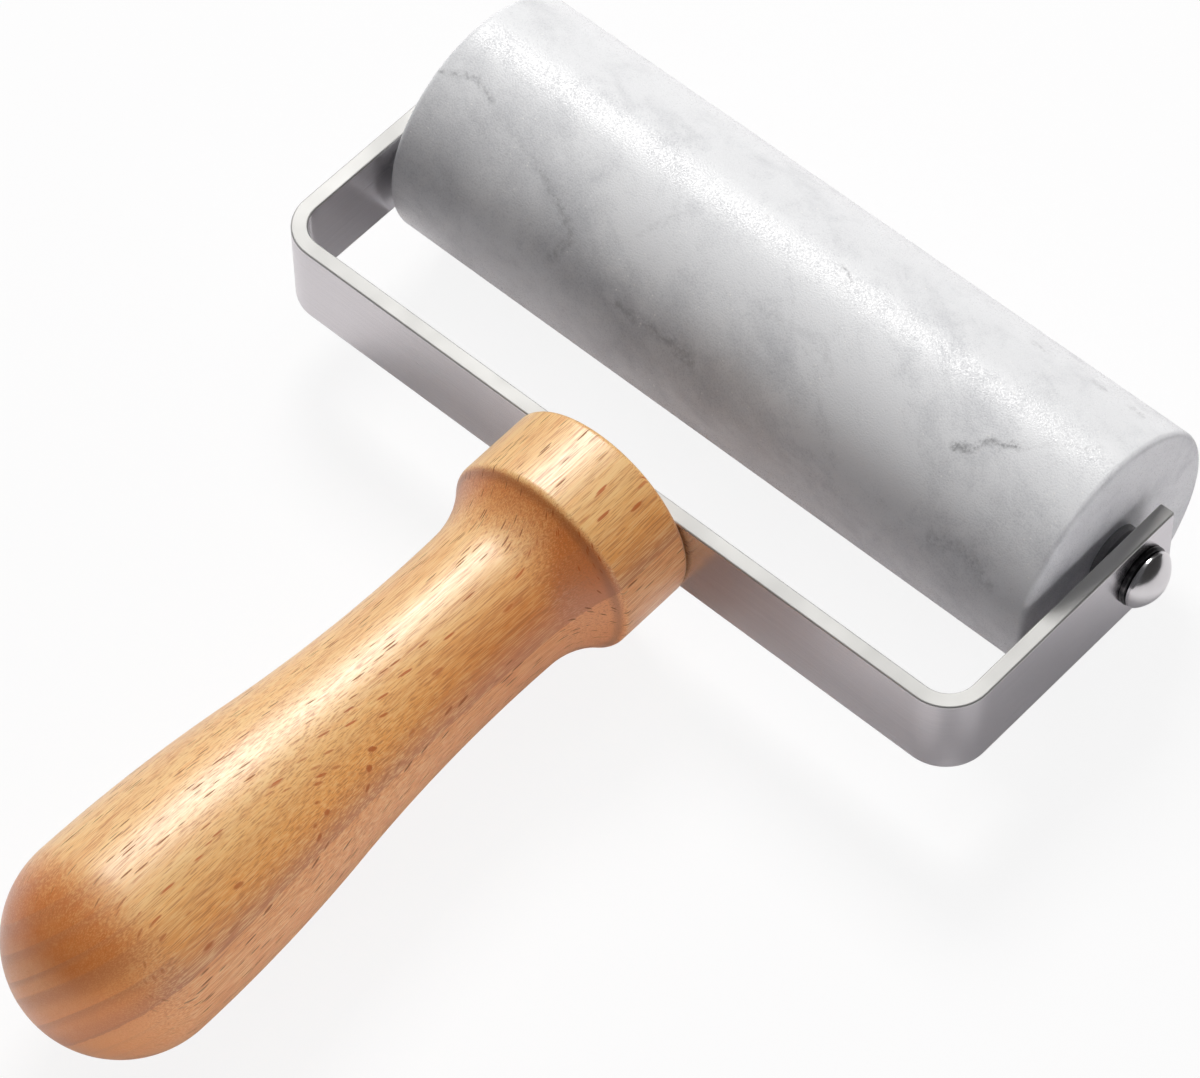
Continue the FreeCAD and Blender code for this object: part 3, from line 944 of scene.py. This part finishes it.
@dataclass
class StoneRoller:
    """The marble cylinder and the two bushes that it turns on."""

    radius: float = 20.0
    length: float = 120.0
    edge: float = 1.0
    bore: float = 4.0
    centre: Point = (-0.7, 66.75, 20.0)
    steps: int = 320

    def profile(self) -> np.ndarray:
        """Half section of the stone: bore, end face, rounded edge, skin, and back again.

        Straight runs at the bore, the skin and both ends, with a quarter of a circle where an end
        meets the skin.

        Returns:
            The points, as place along the axle and radius.
        """
        half = self.length / 2
        inner, skin = half - self.edge, self.radius - self.edge
        return np.concatenate([
            straight((half, self.bore), (half, skin), count=12),
            bend((inner, skin), (half, skin), (inner, self.radius), count=10),
            straight((inner, self.radius), (-inner, self.radius), count=60),
            bend((-inner, skin), (-inner, self.radius), (-half, skin), count=10),
            straight((-half, skin), (-half, self.bore), count=12),
            straight((-half, self.bore), (half, self.bore), count=20),
        ])

    def build(self) -> list[bpy.types.Object]:
        """Makes the stone and dresses it and the bushes.

        Returns:
            The pieces of this sub-assembly.
        """
        turning = Turning(self.profile(), self.centre, (1.0, 0.0, 0.0), Ends.LOOP, self.steps)
        stone = new_piece(turning.mesh("marble_cylinder"), "roller", "roller")
        dress(stone, Marble(self.centre, self.radius).material())
        bushes = [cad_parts[name] for name in ("left_bush", "right_bush")]
        nylon = MouldedNylon().material()
        for bush in bushes:
            dress(bush, nylon)
        return [stone, *bushes]


@dataclass
class SteelFork:
    """The bent strip, the axle with its caps and washers, and the handle's screw."""

    cap_seat: float = 65.3
    cap_radius: float = 4.6
    cap_undercut: float = 0.35
    cap_rim: float = 0.9
    cap_dome: float = 2.3
    cap_shoulder: float = 0.7
    cap_bore_depth: float = 1.6
    axle_radius: float = 2.5
    axle_place: Pair = (66.75, 20.0)
    steps: int = 128

    def cap_profile(self) -> np.ndarray:
        """Half section of a cap: bore, undercut rim, rounded shoulder and ball-shaped dome.

        The ball's radius is the dome's height squared plus the rim's radius squared, over twice that
        height. The shoulder's arc lies within the rim and the ball and touches both.

        Returns:
            The points, as distance from the washer and radius.
        """
        rim, dome = self.cap_radius, self.cap_dome
        apex = self.cap_rim + dome
        ball = (dome ** 2 + rim ** 2) / (2 * dome)
        ball_centre = apex - ball
        inner = rim - self.cap_shoulder
        seat = ball_centre + math.sqrt((ball - self.cap_shoulder) ** 2 - inner ** 2)
        outward = np.array([seat - ball_centre, inner]) / (ball - self.cap_shoulder)
        meet = np.array([ball_centre, 0.0]) + outward * ball
        under = rim - self.cap_undercut
        return np.concatenate([
            straight((self.cap_bore_depth, 0.0), (self.cap_bore_depth, self.axle_radius), count=4),
            straight((self.cap_bore_depth, self.axle_radius), (0.0, self.axle_radius), count=4),
            straight((0.0, self.axle_radius), (0.0, under), count=6),
            straight((0.0, under), (self.cap_undercut, rim), count=3),
            straight((self.cap_undercut, rim), (seat, rim), count=3),
            bend((seat, inner), (seat, rim), meet, count=10),
            bend((ball_centre, 0.0), meet, (apex, 0.0), count=28),
            np.array([[apex, 0.0]]),
        ])

    def build_cap(self, side: Side) -> bpy.types.Object:
        """Makes one domed cap.

        Args:
            side: The arm that it sits on.

        Returns:
            The cap.
        """
        name = f"{side.name.lower()}_cap"
        sign = float(side.value)
        origin = (sign * self.cap_seat, *self.axle_place)
        turning = Turning(self.cap_profile(), origin, (sign, 0.0, 0.0), Ends.ON_AXIS, self.steps)
        return new_piece(turning.mesh(f"{name}_dome"), "fork", name)

    def build(self) -> list[bpy.types.Object]:
        """Makes the caps and dresses all the metal.

        Returns:
            The pieces of this sub-assembly.
        """
        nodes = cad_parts
        caps = [self.build_cap(side) for side in Side]
        washers = [nodes["left_cap_washer"], nodes["right_cap_washer"]]
        plain = [nodes["axle"], nodes["handle_screw"], nodes["screw_washer"]]
        strip = nodes["frame"]
        dress(strip, StripSteel().material())
        # The washers' black is painted shade round the base of each cap.
        for pieces, finish in ((caps, PolishedSteel()), (washers, PaintedShadeWasherSteel()), (plain, PlainSteel())):
            material = finish.material()
            for piece in pieces:
                dress(piece, material)
        return [strip, *caps, *washers, *plain]


@dataclass
class TurnedHandle:
    """The turned grip and the brass insert in its front face."""

    length: float = 113.0
    collar: Pair = (13.0, 16.25)
    front_edge: float = 1.0
    back_edge: float = 1.6
    cove: float = 15.0
    neck: Pair = (30.0, 12.0)
    belly: float = 16.25
    drill: Pair = (18.5, 4.0)
    drill_point: float = 118.0
    seat: Point = (0.0, 26.25, 20.0)
    steps: int = 224

    def profile(self) -> np.ndarray:
        """Half section of the grip: drilled seat, collar, cove, neck, belly and round butt.

        Neck and belly are two arcs of one radius that meet halfway between the narrowest and the
        widest place. That radius is the squared distance of these two, over four times the rise. The
        cove's arc starts at the collar's rounded edge and touches the neck's arc from within.

        Returns:
            The points, as distance from the fork and radius.
        """
        neck, collar = np.array(self.neck), np.array(self.collar)
        butt = np.array([self.length - self.belly, 0.0])
        wide = butt + np.array([0.0, self.belly])
        rise = wide - neck
        bow = np.array([0.0, (rise @ rise) / (4 * rise[1])])
        middle = (neck + wide) / 2
        neck_centre = neck + bow
        gap = neck_centre - collar
        apart = np.hypot(*gap)
        share = (apart ** 2 + self.cove ** 2 - (bow[1] - self.cove) ** 2) / (2 * apart ** 2)
        height = math.sqrt(self.cove ** 2 - (share * apart) ** 2)
        square = np.array([gap[1], -gap[0]]) / apart
        cove_centre = collar + gap * share + square * height
        cove_end = neck_centre + (cove_centre - neck_centre) * bow[1] / (bow[1] - self.cove)
        inner = collar[1] - self.back_edge
        drop = cove_centre[1] - inner
        reach = self.cove + self.back_edge
        edge = np.array([cove_centre[0] - math.sqrt(reach ** 2 - drop ** 2), inner])
        edge_end = cove_centre + (edge - cove_centre) * self.cove / reach
        deep, hole = self.drill
        tip = deep + hole / math.tan(math.radians(self.drill_point / 2))
        lip = collar[1] - self.front_edge
        return np.concatenate([
            straight((tip, 0.0), (deep, hole), count=6),
            straight((deep, hole), (0.0, hole), count=8),
            straight((0.0, hole), (0.0, lip), count=12),
            bend((self.front_edge, lip), (0.0, lip), (self.front_edge, collar[1]), count=10),
            straight((self.front_edge, collar[1]), (edge[0], collar[1]), count=12),
            bend(tuple(edge), (edge[0], collar[1]), edge_end, count=12),
            bend(tuple(cove_centre), edge_end, cove_end, count=24),
            bend(tuple(neck_centre), cove_end, middle, count=40),
            bend(tuple(wide - bow), middle, wide, count=40),
            bend(tuple(butt), wide, (self.length, 0.0), count=40),
            np.array([[self.length, 0.0]]),
        ])

    def build(self) -> list[bpy.types.Object]:
        """Makes the grip and dresses it and the insert.

        Returns:
            The pieces of this sub-assembly.
        """
        turning = Turning(self.profile(), self.seat, (0.0, -1.0, 0.0), Ends.ON_AXIS, self.steps)
        grip = new_piece(turning.mesh("beech_grip"), "fork", "handle")
        dress(grip, Beech().material())
        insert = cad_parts["handle_insert"]
        dress(insert, TurnedBrass().material())
        return [grip, insert]


@dataclass(frozen=True)
class Softbox:
    """A lamp with a flat bright face, whose light fades towards the rim of its beam.

    The place, the aim and the face's width and height are in millimetres, the beam in degrees.
    """

    name: str
    place: Point
    aim: Point
    face: Pair
    level: float
    tint: Point = (1.0, 1.0, 1.0)
    beam: float = 180.0
    mirrored: bool = False


@dataclass
class Studio:
    """The pale floor, the lamps, the surroundings and the camera."""

    floor_reach: float = 4000.0
    floor_drop: float = 0.2
    floor_cells: int = 8
    floor_colour: Colour = (0.90, 0.885, 0.90, 1.0)
    seen_white: float = 0.88
    mirrored_white: float = 0.03
    white: Colour = (1.0, 1.0, 1.0, 1.0)
    dome: Colour = (0.70, 0.70, 0.705, 1.0)
    shade: Colour = (0.05, 0.048, 0.048, 1.0)
    dusk: Colour = (0.105, 0.105, 0.11, 1.0)
    dark_side: Point = (0.86, 0.48, 0.16)
    dark_span: Pair = (-0.5, 0.6)
    front_side: Point = (-0.2, -0.93, 0.3)
    front_span: Pair = (0.05, 0.5)
    softboxes: tuple[Softbox, ...] = (
        Softbox("key", (-540.0, 560.0, 960.0), (0.0, 10.0, 20.0), (460.0, 400.0), 0.72,
                tint=(1.0, 0.985, 0.965), mirrored=True),
        Softbox("overhead", (-240.0, 200.0, 1180.0), (0.0, 10.0, 20.0), (1100.0, 1100.0), 0.305),
        Softbox("side", (1000.0, 60.0, 200.0), (0.0, 60.0, 20.0), (900.0, 360.0), 0.09,
                tint=(1.0, 0.965, 1.0)),
        Softbox("grip", (430.0, -60.0, 70.0), (0.0, -42.0, 20.0), (120.0, 100.0), 0.34,
                tint=(1.0, 0.97, 0.98), beam=38.0),
        Softbox("end", (920.0, 66.0, 270.0), (59.3, 64.0, 31.0), (50.0, 50.0), 0.10,
                tint=(1.0, 0.985, 1.0), beam=6.0),
        Softbox("butt", (0.0, -800.0, 190.0), (0.0, -86.0, 22.0), (30.0, 30.0), 0.25,
                tint=(1.0, 0.96, 0.94), beam=5.0),
    )
    eye: Point = (345.67, -345.26, 734.87)
    right: Point = (0.741923, 0.670396, -0.010951)
    down: Point = (0.544461, -0.611923, -0.573684)
    look: Point = (-0.391297, 0.419666, -0.819004)
    focal: float = 6216.9
    film: float = 36.0
    clip: Pair = (0.01, 20.0)

    def floor_material(self) -> bpy.types.Material:
        """White to the camera apart from part of the shadow, and a lit surface to everything else.

        Returns:
            The material.
        """
        material = bpy.data.materials.new("PaleFloor")
        material.use_nodes = True
        bench = Bench(material.node_tree)
        rays = bench.node("ShaderNodeLightPath", {}, {}).outputs
        seen = Wire(bench, rays["Is Camera Ray"])
        mirrored = Wire(bench, rays["Is Glossy Ray"]) + Wire(bench, rays["Is Transmission Ray"])
        lit = bench.node("ShaderNodeBsdfDiffuse", {}, {"Color": self.floor_colour})
        glow = bench.node("ShaderNodeEmission", {}, {"Color": self.white, "Strength": 1.0})
        share = seen * self.seen_white + mirrored * self.mirrored_white
        mixed = bench.node("ShaderNodeMixShader", {}, {0: share, 1: lit.outputs[0], 2: glow.outputs[0]})
        bench.node("ShaderNodeOutputMaterial", {}, {"Surface": mixed.outputs[0]})
        return material

    def lay_floor(self) -> bpy.types.Object:
        """Lays a level grid of points just under the tool.

        Returns:
            The floor.
        """
        cells = np.arange(self.floor_cells)
        row = self.floor_cells + 1
        line = np.linspace(-self.floor_reach, self.floor_reach, row)
        x, y = np.meshgrid(line, line, indexing="ij")
        points = np.stack([x, y, np.full_like(x, -self.floor_drop)], -1).reshape(-1, 3)
        corner = cells[:, None] * row + cells
        quads = np.stack([corner, corner + row, corner + row + 1, corner + 1], -1).reshape(-1, 4)
        mesh = bpy.data.meshes.new("floor")
        mesh.from_pydata((points * MM).tolist(), [], quads.tolist())
        floor = bpy.data.objects.new("floor", mesh)
        bpy.context.scene.collection.objects.link(floor)
        dress(floor, self.floor_material())
        return floor

    def hang(self, softbox: Softbox) -> bpy.types.Object:
        """Hangs one lamp; at level one it lights a facing white surface to white.

        Its power is the level times pi squared times the squared distance. A narrower beam takes less:
        one minus half its angle over the tangent of that half.

        Args:
            softbox: What to hang.

        Returns:
            The lamp.
        """
        place, aim = Vector(softbox.place) * MM, Vector(softbox.aim) * MM
        away = place - aim
        lamp = bpy.data.lights.new(softbox.name, "AREA")
        lamp.shape = "RECTANGLE"
        lamp.size, lamp.size_y = (side * MM for side in softbox.face)
        lamp.color = softbox.tint
        lamp.spread = math.radians(softbox.beam)
        half = lamp.spread / 2
        lamp.energy = softbox.level * math.pi ** 2 * away.length_squared * (1.0 - half / math.tan(half))
        hung = bpy.data.objects.new(softbox.name, lamp)
        hung.visible_glossy = softbox.mirrored
        back = away.normalized()
        sideways = Vector((1.0, 0.0, 0.0) if abs(back.x) < abs(back.z) else (0.0, 1.0, 0.0))
        up = back.cross(sideways).normalized()
        turn = Matrix((up.cross(back), up, back)).transposed()
        hung.matrix_world = Matrix.Translation(place) @ turn.to_4x4()
        bpy.context.scene.collection.objects.link(hung)
        return hung

    def surround(self) -> bpy.types.World:
        """White behind the tool, and a grey room in reflections, darker on one side and in front.

        Returns:
            The surroundings.
        """
        world = bpy.data.worlds.new("studio")
        bpy.context.scene.world = world
        world.use_nodes = True
        bench = Bench(world.node_tree)
        way = bench.node("ShaderNodeTexCoord", {}, {}).outputs["Generated"]
        rays = bench.node("ShaderNodeLightPath", {}, {}).outputs
        behind = Wire(bench, rays["Is Camera Ray"]) + Wire(bench, rays["Is Transmission Ray"])
        dark = bench.along(way, self.dark_side).rise(*self.dark_span)
        front = bench.along(way, self.front_side).rise(*self.front_span)
        room = bench.layered(self.dome, (dark, self.shade), (front, self.dusk))
        mirrored = Wire(bench, rays["Is Glossy Ray"])
        colour = bench.layered(self.dusk, (mirrored, room), (behind, self.white))
        glow = bench.node("ShaderNodeBackground", {}, {"Color": colour, "Strength": 1.0})
        bench.node("ShaderNodeOutputWorld", {}, {"Surface": glow.outputs[0]})
        return world

    def set_camera(self) -> bpy.types.Object:
        """Stands the camera where the photograph was taken from.

        Returns:
            The camera.
        """
        camera = bpy.data.cameras.new("camera")
        camera.sensor_fit = "HORIZONTAL"
        camera.sensor_width = self.film
        camera.lens = self.focal / PHOTO_WIDTH * self.film
        camera.clip_start, camera.clip_end = self.clip
        stand = bpy.data.objects.new("camera", camera)
        turn = Matrix((self.right, -Vector(self.down), -Vector(self.look))).transposed()
        stand.matrix_world = Matrix.Translation(Vector(self.eye) * MM) @ turn.to_4x4()
        bpy.context.scene.collection.objects.link(stand)
        bpy.context.scene.camera = stand
        return stand

    def build(self) -> list[bpy.types.Object]:
        """Sets up everything round the tool.

        Returns:
            The floor, the lamps and the camera.
        """
        bpy.context.scene.view_settings.view_transform = "Standard"
        self.surround()
        lamps = [self.hang(softbox) for softbox in self.softboxes]
        return [self.lay_floor(), *lamps, self.set_camera()]


def main() -> None:
    """Builds the camera and lights, then each sub-assembly, and reports every piece."""
    logging.basicConfig(level=logging.INFO, format="%(name)s: %(message)s")
    for assembly in (Studio(), StoneRoller(), SteelFork(), TurnedHandle()):
        for piece in assembly.build():
            LOG.info("%s: %s", type(assembly).__name__, piece.name)


if __name__ == "__main__":
    main()
